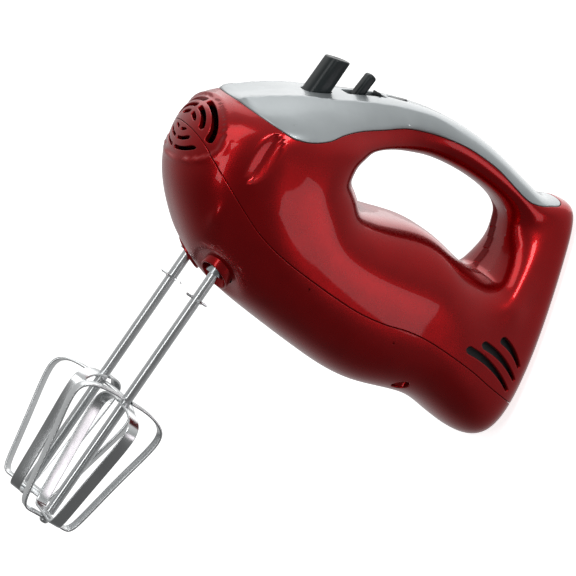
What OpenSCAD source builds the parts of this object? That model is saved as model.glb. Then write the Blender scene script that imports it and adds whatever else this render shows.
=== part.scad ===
// Hand mixer with two beaters, standing on its flat heel.
// Every part is drawn as the mixer is held in use: +X to the rear, -Y to its left, +Z up, with the
// origin on the ground line between the two spindles. stand() then turns it onto its heel.

/* [Body] */
// Thickness of the moulded shells
wall = 2.4; // [2:0.2:2.8]
// Lean of the heel face away from the vertical, in degrees
heel_tilt = 13; // [12.5:0.5:13.5]
// Distance from the origin to the heel face, square to the face
heel_reach = 173; // [172.5:0.5:173.5]
// Gap that shows as a line between neighbouring shells
seam_gap = 0.3; // [0.2:0.1:0.5]
// Number of sections round the hand opening
body_sections = 60; // [50:5:70]
// Number of points round one section
section_points = 24; // [20:4:28]

/* [Beaters] */
// Distance between the two spindle axes
spindle_spacing = 38; // [38:1:39]
// Diameter of a beater shaft
shaft_d = 5; // [4.6:0.1:5]
// Height of the top of a beater shaft inside its spindle
shaft_top = 30; // [26:1:32]
// Height of the strip that crosses under the cage
cage_foot = -129.5; // [-132:0.5:-126]
// Radius of the cage at its shoulder
cage_r = 24; // [22:0.5:24.5]
// Width of a beater strip
strip_w = 6; // [5:0.5:6.5]
// Thickness of a beater strip
strip_t = 1.2; // [1:0.1:1.4]
// Span of the small drive wings below the socket
wing_span = 12.6; // [11:0.2:14]

/* [Drive] */
// Height of the motor axis
motor_z = 42; // [41:0.5:43]
// Teeth on each worm wheel
wheel_teeth = 24; // [24:2:26]
// Pitch diameter of the worm
worm_d = 9; // [8.5:0.5:9]
// Diameter of the motor shaft
motor_shaft_d = 6; // [5:0.5:6]
// Outer diameter of a spindle
spindle_d = 9; // [8.6:0.2:9]
// Radial running clearance
running_fit = 0.06; // [0.03:0.01:0.09]

/* [Controls] */
// Width of the oval eject button across the mixer
eject_wide = 13.2; // [12:0.2:13.4]
// Length of the oval eject button along the mixer
eject_long = 11; // [8:0.5:11.5]
// Height of the middle of the eject button's sloping top
eject_top = 123; // [120:0.1:127]
// Height of the finger tab of the speed control
tab_height = 20; // [18:0.5:21]

/* [Hidden] */
$fn = 64;
LEFT = -1;
RIGHT = 1;

// Distance along the heel from the origin's foot to the middle of the heel face
heel_mid = 36;
// How far cuts run past what they cut
past = 1;
// Half the width of a cutting block that spans the whole body
span = 60;

// Sections of the body, in order round the hand opening from the nose tip over the top.
// Each one is [outer x, outer z, opening x, opening z, half width, place of the widest point
// between outside and opening, roundness on the outside, roundness at the opening].
SECTIONS = [
    [-51, 60, 27, 88, 41, 0.5, 2.2, 4],
    [-45, 75, 29, 93, 39, 0.5, 2.2, 4],
    [-30, 86.3, 31, 97, 35, 0.5, 2.2, 3.8],
    [-16, 97.5, 38, 101, 30, 0.5, 2.2, 3.4],
    [4.5, 108.5, 45, 104, 25, 0.5, 2.2, 3],
    [23, 119.5, 54, 107, 20, 0.5, 2.3, 2.6],
    [43, 127, 62, 110, 17.5, 0.5, 2.4, 2.4],
    [64, 132, 71, 112, 16.5, 0.5, 2.4, 2.4],
    [85, 132.5, 82, 113.5, 16.5, 0.5, 2.4, 2.4],
    [105, 130, 95, 114, 17, 0.5, 2.4, 2.4],
    [122, 127, 107, 113, 17.5, 0.5, 2.4, 2.4],
    [131, 127, 118, 109, 18, 0.5, 2.4, 2.4],
    [145, 137, 121, 102, 18.5, 0.5, 2.6, 2.6],
    [153, 108, 126, 94, 24, 0.5, 3.2, 3],
    [162, 75, 127, 85, 30, 0.5, 3.4, 3.2],
    [170, 39, 126, 77, 34.5, 0.5, 3.4, 3.4],
    [173, 8, 110, 78, 37.5, 0.45, 2.8, 3.4],
    [146, 7, 99, 79, 40, 0.45, 2.6, 3.2],
    [122, 12, 86, 81.5, 41, 0.45, 2.6, 3.2],
    [92, -2, 73, 80, 42, 0.45, 2.6, 3.2],
    [62, -1, 55, 73, 42.5, 0.45, 2.6, 3.4],
    [30, 1, 40, 71, 43, 0.45, 2.6, 3.6],
    [-2, 4, 35, 77, 43, 0.48, 2.5, 3.8],
    [-24, 18, 27, 80, 43, 0.5, 2.4, 4],
    [-44, 36, 27, 84, 42.5, 0.5, 2.2, 4]
];

// Line in side view along which the silver cover meets the red shell, nose to heel
COVER_SEAM = [
    [-60, 80], [-20, 80], [-12, 81], [-5, 84], [2, 89], [8, 95], [16, 101], [28, 108],
    [39, 114.5], [51, 119], [62, 122], [73, 124], [84, 124.5], [94, 124], [105, 122],
    [114, 120.5], [120, 121], [128, 124.5], [136, 131], [140, 150]
];

// Line in side view along which the two red shells meet, nose to heel
HOUSING_SEAM = [
    [-60, 60], [-49, 58], [-33, 49], [-14, 40], [0, 35], [20, 32], [55, 31], [74, 33],
    [90, 37], [105, 38.5], [130, 38], [150, 36], [185, 34]
];

// Worm gearing
wheel_d = spindle_spacing - worm_d;
gear_module = wheel_d / wheel_teeth;
thread_pitch = PI * gear_module;
lead_angle = atan(gear_module / worm_d);
tooth_rise = 1.1;
tooth_fall = 1.35;
tooth_half = 0.19 * thread_pitch;
flank_lean = 0.36;
worm_length = 24;
wheel_width = 8;

// Motor stations along its axis
fan_x = 31;
core_x = 46;
core_len = 30;
core_r = 14;
commutator_x = 84;
commutator_len = 12;
commutator_r = 9;
shaft_front_x = -25;
shaft_rear_x = 108;

// Spindle and ejector heights
spindle_foot = 8;
spindle_head = 62;
pin_gap = 0.3;
pin_head_z = 75;
pin_head_h = 3;
yoke_h = 4;
yoke_z = pin_head_z + pin_head_h + pin_gap;
eject_x = -2;
eject_foot = 92;

// Places of the controls on the sloping cover: x, z and slope in degrees
SPEED_PLACE = [20.2, 115.2, 31];
BOOST_PLACE = [35.5, 123.5, 27];

// Half the length and the depth of the speed slider's trough
slot_half = 9.7;
slot_deep = 3.2;

// Middle of the nose grille, and how much wider than tall it is
grille_z = 59;
grille_flat = 1.75;

// Cord inlet under the heel
gland_x = 150;
gland_z = 10;
gland_len = 16;
gland_r = 7;
cord_hole_r = 3.6;

// Side vents: [front x, front z, rear x, rear z]
VENTS = [[138.5, 58.5, 154.5, 52.2], [130, 51.7, 156, 45.7], [123.5, 45.7, 155.6, 39.7]];
SCREW_SPOTS = [[108.5, 30, 14]];

SILVER = "#c9cdce";
RED = "#8f0f18";
BLACK = "#1c2326";
STEEL = "#c4c8ca";
COPPER = "#b4683a";

// ---- placing ----

// Turns a part from the way it is held to the way it stands on its heel
module stand() {
    translate([-heel_mid, 0, heel_reach])
        rotate([0, 90 + heel_tilt, 0])
            children();
}

// Carries a part to one of the two spindles
module at_spindle(side) {
    translate([0, side * spindle_spacing / 2, 0])
        children();
}

// Carries a part to the motor axis, drawn along +Z from the station x
module on_motor_axis(x) {
    translate([x, 0, motor_z])
        rotate([0, 90, 0])
            children();
}

// Carries a part to a place on the sloping cover, drawn square to it
module on_slope(place) {
    translate([place[0], 0, place[1]])
        rotate([0, -place[2], 0])
            children();
}

module ring(outer_r, inner_r, height) {
    difference() {
        cylinder(r = outer_r, h = height);
        translate([0, 0, -past])
            cylinder(r = inner_r, h = height + 2 * past);
    }
}

module block(x0, x1, half_y, z0, z1) {
    translate([x0, -half_y, z0])
        cube([x1 - x0, 2 * half_y, z1 - z0]);
}

// ---- the body surface ----

// Weights of the four sections that shape the curve at fraction u between two of them
function blend_weight(k, u) =
    k == 0 ? pow(1 - u, 3) / 6 :
    k == 1 ? (3 * pow(u, 3) - 6 * u * u + 4) / 6 :
    k == 2 ? (-3 * pow(u, 3) + 3 * u * u + 3 * u + 1) / 6 :
    pow(u, 3) / 6;

// Section at place t of the closed smooth curve through the list
function section_at(t) = let (n = len(SECTIONS), i = floor(t), u = t - i)
    blend_weight(0, u) * SECTIONS[(i - 1 + n) % n] +
    blend_weight(1, u) * SECTIONS[i % n] +
    blend_weight(2, u) * SECTIONS[(i + 1) % n] +
    blend_weight(3, u) * SECTIONS[(i + 2) % n];

// Point at angle a round section q: a rounded oval between outside and opening, moved in by inset
function skin_point(q, a, inset) = let (
    run = [q[2] - q[0], q[3] - q[1]],
    step = run * inset / norm(run),
    start = [q[0], q[1]] + step,
    reach = run - 2 * step,
    n = cos(a) > 0 ? q[6] : q[7],
    c = pow(abs(cos(a)), 2 / n),
    s = pow(abs(sin(a)), 2 / n),
    along = cos(a) > 0 ? q[5] * (1 - c) : q[5] + (1 - q[5]) * c,
    p = start + reach * along
) [p[0], -sign(sin(a)) * (q[4] - inset) * s, p[1]];

// Closed solid inside the body surface, moved in by inset
module body_solid(inset) {
    points = [
        for (i = [0 : body_sections - 1])
            let (q = section_at(i * len(SECTIONS) / body_sections))
                for (j = [0 : section_points - 1])
                    skin_point(q, j * 360 / section_points, inset)
    ];
    faces = [
        for (i = [0 : body_sections - 1])
            for (j = [0 : section_points - 1])
                let (
                    i2 = (i + 1) % body_sections,
                    j2 = (j + 1) % section_points,
                    a = i * section_points + j,
                    b = i2 * section_points + j,
                    c = i2 * section_points + j2,
                    d = i * section_points + j2
                )
                    for (f = [[a, b, c], [a, c, d]]) f
    ];
    polyhedron(points = points, faces = faces, convexity = 8);
}

// Everything on one side of a line in side view, up to the height edge_z, with the line raised by lift
module beside(line, lift, edge_z) {
    rotate([90, 0, 0])
        linear_extrude(height = 2 * span, center = true)
            polygon(concat(
                [for (p = line) p + [0, lift]],
                [[line[len(line) - 1][0], edge_z], [line[0][0], edge_z]]
            ));
}
module above(line, lift) { beside(line, lift, 200); }
module below(line, lift) { beside(line, lift, -60); }

// Everything beyond the heel face, which is moved in by inset
module heel_cut(inset) {
    rotate([0, -heel_tilt, 0])
        translate([heel_reach - inset, -span, -100])
            cube([40, 2 * span, 300]);
}

// Arc slots of the nose grille, seen along the body: three above the seam and three below it on
// each side. Each one is [radius, half its height, height of its end].
SLOTS_ABOVE = [[13.6, 1.15, -2.5], [9.2, 1.1, 0.5], [5, 1, 2.2]];
SLOTS_BELOW = [[12.9, 0.8, -7.4], [8.6, 0.75, -4.8], [4.4, 0.7, -2.8]];
module grille_arcs(rows, sign) {
    middle_rib = 3;
    for (row = rows)
        difference() {
            scale([grille_flat, 1, 1]) circle(r = row[0] + row[1]);
            scale([grille_flat, 1, 1]) circle(r = row[0] - row[1]);
            square([middle_rib, 60], center = true);
            translate([-40, row[2] - (sign > 0 ? 80 : 0)]) square([80, 80]);
        }
}
module grille_slots() {
    translate([-70, 0, grille_z])
        rotate([90, 0, 90])
            linear_extrude(height = 45) {
                grille_arcs(SLOTS_ABOVE, 1);
                grille_arcs(SLOTS_BELOW, -1);
            }
}

// Middle of a vent at a share of its length, bowed upwards by 7 percent of the length
function vent_at(v, share) =
    let (bow = 0.28 * share * (1 - share), run = [v[2] - v[0], v[3] - v[1]])
        [v[0] + run[0] * share - run[1] * bow, v[1] + run[1] * share + run[0] * bow];

// Tapering, bowed air vents on both sides of the rear
module side_vents() {
    steps = 4;
    for (v = VENTS)
        rotate([90, 0, 0])
            linear_extrude(height = 2 * span, center = true)
                for (k = [0 : steps - 1])
                    hull() {
                        translate(vent_at(v, k / steps))
                            circle(r = 1.9 - 1.1 * k / steps, $fn = 16);
                        translate(vent_at(v, (k + 1) / steps))
                            circle(r = 1.9 - 1.1 * (k + 1) / steps, $fn = 16);
                    }
}

module body_shell() {
    difference() {
        body_solid(0);
        difference() {
            body_solid(wall);
            heel_cut(wall);
        }
        heel_cut(0);
        grille_slots();
    }
}

// ---- shells ----

module lower_housing() {
    color(RED) stand()
        resize([0, 0, 0])
            difference() {
                body_shell();
                above(HOUSING_SEAM, -seam_gap / 2);
                for (side = [LEFT, RIGHT])
                    at_spindle(side)
                        translate([0, 0, -10])
                            cylinder(r = 8.4, h = 40, $fn = 32);
                translate([gland_x, 0, -5])
                    cylinder(r = gland_r + 0.3, h = 30, $fn = 32);
                for (s = SCREW_SPOTS)
                    for (side = [LEFT, RIGHT])
                        translate([s[0], side * s[1], s[2] - 20])
                            cylinder(r = 3.6, h = 34, $fn = 20);
            }
}

module upper_housing() {
    color(RED) stand()
        resize([0, 0, 0])
            difference() {
                body_shell();
                below(HOUSING_SEAM, seam_gap / 2);
                above(COVER_SEAM, -seam_gap / 2);
                side_vents();
            }
}

// Upright oval at the eject button: from a height, so tall, wider by grow, with so many sides
module eject_oval(z, height, grow, sides) {
    translate([eject_x, 0, z])
        scale([(eject_long + grow) / (eject_wide + grow), 1, 1])
            cylinder(d = eject_wide + grow, h = height, $fn = sides);
}

module top_cover() {
    color(SILVER) stand()
        resize([0, 0, 0])
            difference() {
                intersection() {
                    body_shell();
                    above(COVER_SEAM, seam_gap / 2);
                }
                eject_oval(80, 40, 0.8, 40);
                on_slope(SPEED_PLACE)
                    translate([-slot_half - 0.3, -5.5, -10])
                        cube([2 * slot_half + 0.6, 11, 20]);
                on_slope(BOOST_PLACE)
                    scale([1.6, 1, 1])
                        translate([0, 0, -10])
                            cylinder(r = 3.6, h = 20, $fn = 32);
            }
}

// Black trough in the cover in which the speed slider runs, with a raised fin at its rear end
module speed_slot_plate() {
    fin_front = 5.7;
    color(BLACK) stand()
        on_slope(SPEED_PLACE)
            difference() {
                union() {
                    difference() {
                        translate([-slot_half, -5.2, -slot_deep - 1.4])
                            cube([2 * slot_half, 10.4, slot_deep + 1.8]);
                        translate([-slot_half + 0.8, -4.4, -slot_deep])
                            cube([2 * slot_half - 1.6, 8.8, 5]);
                    }
                    rotate([90, 0, 0])
                        linear_extrude(height = 8.8, center = true)
                            polygon([
                                [fin_front, -slot_deep - 0.2], [fin_front + 0.7, 3.2],
                                [slot_half - 0.1, 0.3], [slot_half - 0.1, -slot_deep - 0.2]
                            ]);
                }
                translate([-slot_half + 2, -1.6, -slot_deep - 3])
                    cube([fin_front + slot_half - 2.4, 3.2, 3.1]);
            }
}

// Rubber bush that the mains lead comes through, under the heel
module cord_gland() {
    color(BLACK) stand()
        translate([gland_x, 0, gland_z])
            difference() {
                union() {
                    cylinder(r = gland_r, h = gland_len);
                    translate([0, 0, 4])
                        cylinder(r = gland_r + 2.5, h = 3);
                }
                translate([0, 0, -past])
                    cylinder(r = cord_hole_r, h = gland_len + 2 * past);
            }
}

// Screws that hold the two red shells together, from below
module housing_screws() {
    color(STEEL) stand()
        for (s = SCREW_SPOTS)
            for (side = [LEFT, RIGHT])
                translate([s[0], side * s[1], s[2] + 3])
                    difference() {
                        union() {
                            cylinder(r = 3, h = 2);
                            translate([0, 0, 1.5])
                                cylinder(r = 1.5, h = 9);
                        }
                        for (turn = [0, 90])
                            rotate([0, 0, turn])
                                translate([-2, -0.4, -past])
                                    cube([4, 0.8, past + 1]);
                    }
}

// Red ring round each beater socket, cut off on a slant below: longest behind and to the middle
module socket_collar(side) {
    slant = 26;
    low_turn = 37;
    color(RED) stand()
        at_spindle(side)
            difference() {
                translate([0, 0, 3])
                    ring(8, 7.1, 17);
                translate([0, 0, 7.6])
                    rotate([0, slant, -side * low_turn])
                        translate([-15, -15, -20])
                            cube([30, 30, 20]);
            }
}
module socket_collar_left() { socket_collar(LEFT); }
module socket_collar_right() { socket_collar(RIGHT); }

// ---- fixed works ----

// Sintered bushes that steady the spindles inside the collars
module spindle_bushes() {
    color("#a88a5a") stand()
        for (side = [LEFT, RIGHT])
            at_spindle(side)
                translate([0, 0, 12])
                    ring(7, spindle_d / 2 + running_fit, 7.5);
}

// Laminated iron of the motor's field, with the bore that the armature turns in
module field_stack() {
    color("#6d7276") stand()
        on_motor_axis(core_x)
            difference() {
                intersection() {
                    translate([-25, -29, 0])
                        cube([50, 58, core_len]);
                    cylinder(r = 33, h = core_len);
                }
                translate([0, 0, -past])
                    cylinder(r = core_r + 0.6, h = core_len + 2 * past);
                for (side = [LEFT, RIGHT])
                    translate([side * 14 - 5, -17, -past])
                        cube([10, 34, core_len + 2 * past]);
            }
}

// The two enamelled windings in the field's slots
module field_coils() {
    color(COPPER) stand()
        on_motor_axis(core_x - 6)
            for (side = [LEFT, RIGHT])
                difference() {
                    translate([side * 14 - 4.6, -16.6, 0])
                        cube([9.2, 33.2, core_len + 12]);
                    translate([0, 0, -past])
                        cylinder(r = core_r + 1.2, h = core_len + 12 + 2 * past);
                }
}

// Moulded frame that carries the spindles, the worm and the front of the motor
module gear_frame() {
    color("#d8d8d2") stand()
        difference() {
            union() {
                block(-24, 25, 12, 26, 31);
                block(-16, 25, 25, 26, 31);
                block(-16, 25, 27, 56, 61);
                block(20, 25, 27, 26, 61);
                block(-24, -20, 12, 26, 56);
            }
            for (side = [LEFT, RIGHT])
                at_spindle(side)
                    translate([0, 0, 20])
                        cylinder(r = spindle_d / 2 + running_fit, h = 50);
            on_motor_axis(-26)
                cylinder(r = 5.05, h = 10);
            on_motor_axis(18)
                cylinder(r = 8.05, h = 10);
        }
}

// Bridge that holds the rear bearing behind the commutator
module motor_bracket() {
    color("#d8d8d2") stand()
        difference() {
            union() {
                block(core_x + core_len + 0.1, 106, 6, motor_z + 20, motor_z + 24);
                block(core_x + core_len + 0.1, 106, 6, motor_z - 24, motor_z - 20);
                block(100, 106, 11, motor_z - 24, motor_z + 24);
            }
            on_motor_axis(98)
                cylinder(r = 8.05, h = 10);
        }
}

module bearing_ring(x, outer_r, width) {
    color("#a88a5a") stand()
        on_motor_axis(x)
            ring(outer_r, motor_shaft_d / 2 + running_fit, width);
}
module front_bearing() { bearing_ring(-24, 5, 4); }
module middle_bearing() { bearing_ring(20, 8, 5); }
module rear_bearing() { bearing_ring(100, 8, 6); }

// Brass boxes that guide the brushes onto the commutator
module brush_holders() {
    color("#b9974a") stand()
        for (side = [LEFT, RIGHT])
            translate([commutator_x + 6, side * 19, motor_z])
                difference() {
                    translate([-4, -8, -4])
                        cube([8, 16, 8]);
                    translate([-2.7, -9, -2.7])
                        cube([5.4, 18, 5.4]);
                }
}

module carbon_brushes() {
    color("#3a3a3c") stand()
        for (side = [LEFT, RIGHT])
            translate([commutator_x + 6, side * (commutator_r + 0.4 + 7), motor_z])
                translate([-2.5, -7, -2.5])
                    cube([5, 14, 5]);
}

// Slide switch under the speed slider
module speed_switch() {
    color("#2c3032") stand()
        on_slope(SPEED_PLACE)
            translate([-9, -5, -16])
                cube([20, 10, 7]);
}

// Small switch under the boost button
module boost_switch() {
    color("#2c3032") stand()
        on_slope(BOOST_PLACE)
            translate([-4, -4, -12.5])
                cube([9, 8, 4]);
}

// Coil spring: a round wire carried up a helix with flat dead ends
module coil_spring(mean_r, wire_r, height, turns) {
    steps = turns * 14;
    sides = 6;
    points = [
        for (i = [0 : steps])
            for (j = [0 : sides - 1])
                let (
                    turn = i * 360 * turns / steps,
                    r = mean_r + wire_r * cos(j * 360 / sides),
                    z = wire_r + (height - 2 * wire_r) * i / steps + wire_r * sin(j * 360 / sides)
                )
                    [r * cos(turn), r * sin(turn), z]
    ];
    faces = concat(
        [[for (j = [0 : sides - 1]) j]],
        [
            for (i = [0 : steps - 1])
                for (j = [0 : sides - 1])
                    let (a = i * sides + j, b = i * sides + (j + 1) % sides)
                        for (f = [[a, a + sides, b], [b, a + sides, b + sides]]) f
        ],
        [[for (j = [sides - 1 : -1 : 0]) steps * sides + j]]
    );
    polyhedron(points = points, faces = faces, convexity = 6);
}

// Return spring of the eject button, between the gear frame and the yoke
module eject_spring() {
    color(STEEL) stand()
        translate([0, 0, 61.1])
            coil_spring(5.5, 0.5, yoke_z - 61.2, 5);
}

module boost_spring() {
    color(STEEL) stand()
        on_slope(BOOST_PLACE)
            translate([0, 0, -8.4])
                coil_spring(2, 0.25, 3.2, 4);
}

// ---- armature ----

module motor_shaft() {
    color(STEEL) stand()
        on_motor_axis(shaft_front_x)
            cylinder(d = motor_shaft_d, h = shaft_rear_x - shaft_front_x);
}

// Single-start right-hand thread: a four-cornered ridge carried round a helix
module worm_thread() {
    steps = round(24 * worm_length / thread_pitch);
    root_r = worm_d / 2 - tooth_fall - 0.1;
    tip_r = worm_d / 2 + tooth_rise;
    root_half = tooth_half + flank_lean * tooth_fall;
    tip_half = tooth_half - flank_lean * tooth_rise;
    ridge = [[root_r, -root_half], [tip_r, -tip_half], [tip_r, tip_half], [root_r, root_half]];
    points = [
        for (i = [0 : steps])
            let (x = (i / steps - 0.5) * worm_length, turn = 360 * x / thread_pitch)
                for (c = ridge)
                    [x + c[1], c[0] * cos(turn), c[0] * sin(turn)]
    ];
    faces = concat(
        [[3, 2, 1, 0]],
        [
            for (i = [0 : steps - 1])
                for (j = [0 : 3])
                    let (a = 4 * i + j, b = 4 * i + (j + 1) % 4)
                        for (f = [[a, b, a + 4], [b, b + 4, a + 4]]) f
        ],
        [[for (j = [0 : 3]) 4 * steps + j]]
    );
    polyhedron(points = points, faces = faces, convexity = 6);
}

module worm() {
    color("#d9b45a") stand()
        translate([0, 0, motor_z])
            resize([0, 0, 0])
                difference() {
                    union() {
                        worm_thread();
                        translate([-worm_length / 2 - 2, 0, 0])
                            rotate([0, 90, 0])
                                cylinder(r = worm_d / 2 - tooth_fall, h = worm_length + 4, $fn = 32);
                    }
                    translate([-30, 0, 0])
                        rotate([0, 90, 0])
                            cylinder(d = motor_shaft_d + 0.1, h = 60, $fn = 32);
                }
}

// Slotted iron core of the armature
module armature_core() {
    color("#6d7276") stand()
        on_motor_axis(core_x)
            difference() {
                cylinder(r = core_r, h = core_len);
                translate([0, 0, -past])
                    cylinder(d = motor_shaft_d, h = core_len + 2 * past);
                for (turn = [0 : 30 : 330])
                    rotate([0, 0, turn])
                        translate([9, -1, -past])
                            cube([8, 2, core_len + 2 * past]);
            }
}

// Windings bulging from both ends of the core
module armature_windings() {
    color(COPPER) stand()
        for (x = [core_x - 5.1, core_x + core_len + 0.1])
            on_motor_axis(x)
                difference() {
                    cylinder(r = 11.5, h = 5);
                    translate([0, 0, -past])
                        cylinder(d = motor_shaft_d + 0.1, h = 5 + 2 * past);
                }
}

// Copper segments with insulating gaps
module commutator() {
    color("#c07a48") stand()
        on_motor_axis(commutator_x)
            difference() {
                cylinder(r = commutator_r, h = commutator_len);
                translate([0, 0, -past])
                    cylinder(d = motor_shaft_d + 0.1, h = commutator_len + 2 * past);
                for (turn = [0 : 30 : 330])
                    rotate([0, 0, turn])
                        translate([commutator_r - 1, -0.25, -past])
                            cube([2, 0.5, commutator_len + 2 * past]);
            }
}

// Cooling fan: a hub, a back disc and straight radial blades
module cooling_fan() {
    color("#e4e2da") stand()
        on_motor_axis(fan_x)
            difference() {
                union() {
                    cylinder(r = 7, h = 8);
                    cylinder(r = 23, h = 1.4);
                    for (turn = [0 : 36 : 324])
                        rotate([0, 0, turn])
                            translate([6, -0.6, 0])
                                cube([16.5, 1.2, 8]);
                }
                translate([0, 0, -past])
                    cylinder(d = motor_shaft_d + 0.1, h = 8 + 2 * past);
            }
}

// ---- spindles ----

module spindle(side) {
    color(STEEL) stand()
        at_spindle(side)
            translate([0, 0, spindle_foot])
                ring(spindle_d / 2, shaft_d / 2 + running_fit, spindle_head - spindle_foot);
}
module spindle_left() { spindle(LEFT); }
module spindle_right() { spindle(RIGHT); }

// Wheel with teeth leaning at the worm's lead angle
module worm_wheel(side, first_tooth) {
    tip_half = tooth_half - flank_lean * tooth_rise;
    root_half = tooth_half + flank_lean * (tooth_fall + 0.4);
    pitch_r = wheel_d / 2;
    color("#e8e2cf") stand()
        at_spindle(side)
            translate([0, 0, motor_z])
                difference() {
                    union() {
                        translate([0, 0, -wheel_width / 2])
                            cylinder(r = pitch_r - tooth_fall, h = wheel_width);
                        for (k = [0 : wheel_teeth - 1])
                            rotate([0, 0, first_tooth + k * 360 / wheel_teeth])
                                rotate([-lead_angle, 0, 0])
                                    linear_extrude(height = wheel_width, center = true)
                                        polygon([
                                            [pitch_r - tooth_fall - 0.4, -root_half],
                                            [pitch_r + tooth_rise, -tip_half],
                                            [pitch_r + tooth_rise, tip_half],
                                            [pitch_r - tooth_fall - 0.4, root_half]
                                        ]);
                    }
                    translate([0, 0, -wheel_width])
                        cylinder(d = spindle_d, h = 2 * wheel_width);
                }
}
module worm_wheel_left() { worm_wheel(LEFT, 90); }
module worm_wheel_right() { worm_wheel(RIGHT, 180 / wheel_teeth - 90); }

// Push rod inside a spindle, resting on the beater shaft
module ejector_pin(side) {
    color(STEEL) stand()
        at_spindle(side) {
            translate([0, 0, shaft_top + pin_gap])
                cylinder(r = shaft_d / 2, h = pin_head_z - shaft_top - pin_gap + 1);
            translate([0, 0, pin_head_z])
                cylinder(r = 4, h = pin_head_h);
        }
}
module ejector_pin_left() { ejector_pin(LEFT); }
module ejector_pin_right() { ejector_pin(RIGHT); }

// ---- beaters ----

// Points of half a strip's middle line, from the shaft out over the shoulder and in to the foot
function strip_frame(top, foot) = [
    [shaft_d / 2 - 0.1, top],
    [cage_r * 0.5, top + 0.3],
    [cage_r * 1.05, top - 3],
    [cage_r * 1.03, top - 14],
    [cage_r * 0.85, top - 32],
    [cage_r * 0.67, foot + 10],
    [cage_r * 0.58, foot - 0.4],
    [cage_r * 0.36, foot],
    [0, foot]
];

// Smooth open curve over the points of list p, pinned at both ends
function pinned(p) = concat([2 * p[0] - p[1]], p, [2 * p[len(p) - 1] - p[len(p) - 2]]);
function open_curve(p, steps) = let (q = pinned(p)) [
    for (i = [0 : len(p) - 2])
        for (s = [0 : steps - 1])
            let (u = s / steps)
                blend_weight(0, u) * q[i] + blend_weight(1, u) * q[i + 1] +
                blend_weight(2, u) * q[i + 2] + blend_weight(3, u) * q[i + 3],
    p[len(p) - 1]
];

// One bent strip: its middle line and the mirrored half, thickened and given its width
module strip_loop(top, foot) {
    half = open_curve(strip_frame(top, foot), 4);
    n = len(half);
    line = concat(half, [for (i = [n - 2 : -1 : 0]) [-half[i][0], half[i][1]]]);
    last = len(line) - 1;
    normals = [
        for (i = [0 : last])
            let (d = line[min(i + 1, last)] - line[max(i - 1, 0)])
                [-d[1], d[0]] / norm(d)
    ];
    outline = concat(
        [for (i = [0 : last]) line[i] + normals[i] * strip_t / 2],
        [for (i = [last : -1 : 0]) line[i] - normals[i] * strip_t / 2]
    );
    rotate([90, 0, 0])
        linear_extrude(height = strip_w, center = true)
            polygon(outline);
}

// Turn of a beater about its own axis at rest, so that the two cages pass through each other
function beater_turn(side) = side == LEFT ? 0 : 45;

module beater_shaft(side) {
    color(STEEL) stand()
        at_spindle(side)
            rotate([0, 0, beater_turn(side)])
                union() {
                    translate([0, 0, cage_foot + 2.6])
                        cylinder(d = shaft_d, h = shaft_top - cage_foot - 2.6);
                    for (turn = [0, 90])
                        rotate([0, 0, turn])
                            translate([-wing_span / 2, -0.8, -6.9])
                                cube([wing_span, 1.6, 1.2]);
                }
}
module beater_shaft_left() { beater_shaft(LEFT); }
module beater_shaft_right() { beater_shaft(RIGHT); }

module beater_low_loop(side) {
    color(STEEL) stand()
        at_spindle(side)
            rotate([0, 0, beater_turn(side)])
                strip_loop(-63, cage_foot);
}
module beater_low_loop_left() { beater_low_loop(LEFT); }
module beater_low_loop_right() { beater_low_loop(RIGHT); }

module beater_high_loop(side) {
    color(STEEL) stand()
        at_spindle(side)
            rotate([0, 0, beater_turn(side) + 90])
                strip_loop(-65.6, cage_foot + 1.4);
}
module beater_high_loop_left() { beater_high_loop(LEFT); }
module beater_high_loop_right() { beater_high_loop(RIGHT); }

// Domed rivet that closes the foot of a cage
module beater_cap(side) {
    color(STEEL) stand()
        at_spindle(side)
            translate([0, 0, cage_foot - strip_t / 2 - 0.05])
                rotate([180, 0, 0])
                    intersection() {
                        cylinder(r = 2.4, h = 2);
                        translate([0, 0, -1])
                            sphere(r = 3);
                    }
}
module beater_cap_left() { beater_cap(LEFT); }
module beater_cap_right() { beater_cap(RIGHT); }

// ---- controls ----

module eject_button() {
    top_slope = 17;
    color(BLACK) stand()
        resize([0, 0, 0])
            difference() {
                union() {
                    eject_oval(eject_foot, eject_top + 3 - eject_foot, 0, 48);
                    eject_oval(eject_foot, 2, 3, 48);
                }
                translate([eject_x, 0, eject_top])
                    rotate([0, -top_slope, 0])
                        translate([-20, -20, 0])
                            cube([40, 40, 20]);
            }
}

// Plate under the eject button that presses both ejector pins at once
module ejector_yoke() {
    color("#d8d8d2") stand()
        union() {
            translate([-6, -spindle_spacing / 2 - 5, yoke_z])
                cube([12, spindle_spacing + 10, yoke_h]);
            translate([eject_x, 0, yoke_z])
                cylinder(r = 4, h = eject_foot - yoke_z);
        }
}

// Finger tab of the speed control
module speed_slider() {
    color(BLACK) stand()
        difference() {
            on_slope(SPEED_PLACE)
                translate([-slot_half + 1.2 + 3.2, 0, 0])
                    rotate([0, SPEED_PLACE[2] + 7, 0])
                        translate([-2.3, -3.5, -6])
                            cube([4.6, 7, tab_height]);
            on_slope(SPEED_PLACE)
                translate([-20, -10, -slot_deep - 20 + 0.3])
                    cube([40, 20, 20]);
            on_slope(SPEED_PLACE)
                translate([-slot_half - 20 + 1.1, -10, -10])
                    cube([20, 20, 10.8]);
        }
}

// Link below the trough that carries the slider's motion to the switch
module slider_carriage() {
    color("#2c3032") stand()
        on_slope(SPEED_PLACE)
            union() {
                translate([-slot_half + 2.4, -1.2, -7])
                    cube([4, 2.4, 7.3 - slot_deep]);
                translate([-slot_half + 1, -4, -8.6])
                    cube([7, 8, 2.6]);
            }
}

module boost_button() {
    color(BLACK) stand()
        on_slope(BOOST_PLACE)
            resize([0, 0, 0])
                scale([1.6, 1, 1])
                    translate([0, 0, -5])
                        union() {
                            cylinder(r = 3.2, h = 5.9, $fn = 40);
                            cylinder(r = 3.5, h = 1, $fn = 40);
                        }
}

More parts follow.
